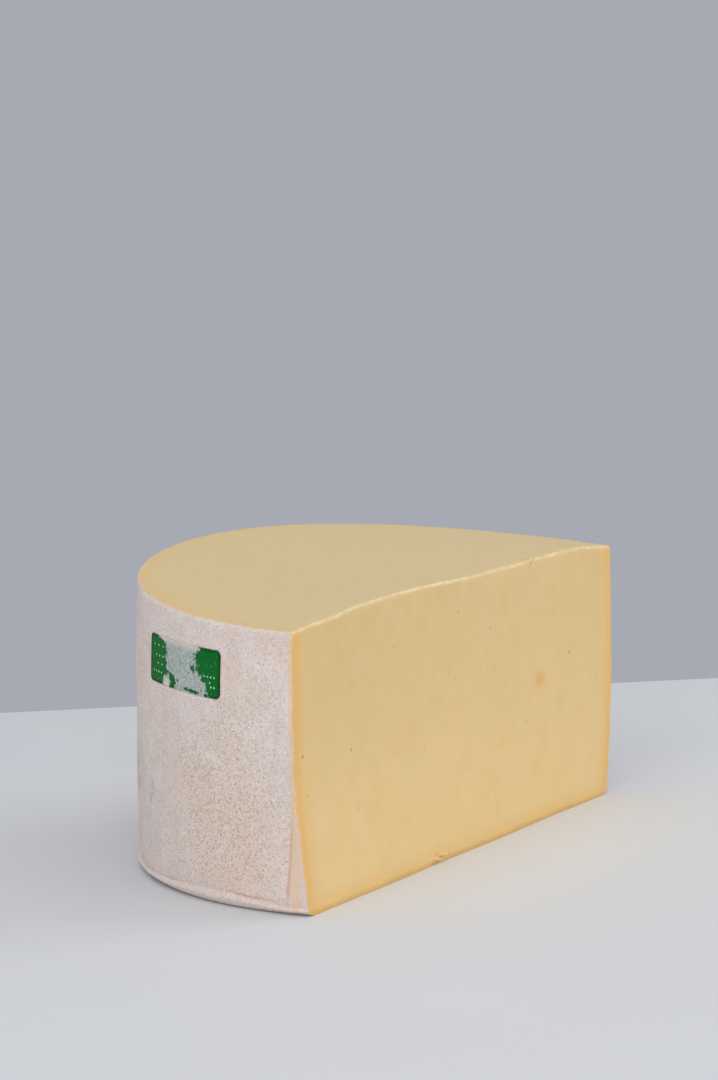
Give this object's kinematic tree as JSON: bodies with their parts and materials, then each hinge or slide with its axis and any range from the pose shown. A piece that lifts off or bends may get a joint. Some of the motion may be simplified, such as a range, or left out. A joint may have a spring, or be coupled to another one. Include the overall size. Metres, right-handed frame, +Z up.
{
  "type": "cantal half wheel",
  "caption": "Half of a large pressed cheese wheel, cut level and then halved: smooth yellow paste, powdery cloth-marked rind and a plaque pressed into the rind.",
  "frame": {"origin": "centre of the base of the bounding box, on the plane the cheese stands on", "axes": "+Z up; the upright cut face looks towards -Y and its chord runs along X; the rind bulges towards +Y"},
  "size_m": [0.396, 0.2035, 0.1807],
  "materials": {
    "cheese": "smooth pale yellow pressed paste, satin and slightly moist; the rind is powdery and pinkish white",
    "plaque": "deep green pressed plate, satin, its middle worn and mouldy grey"
  },
  "bodies": {
    "root": {"cheese": "cheese", "plaque": "plaque"}
  },
  "joints": []
}
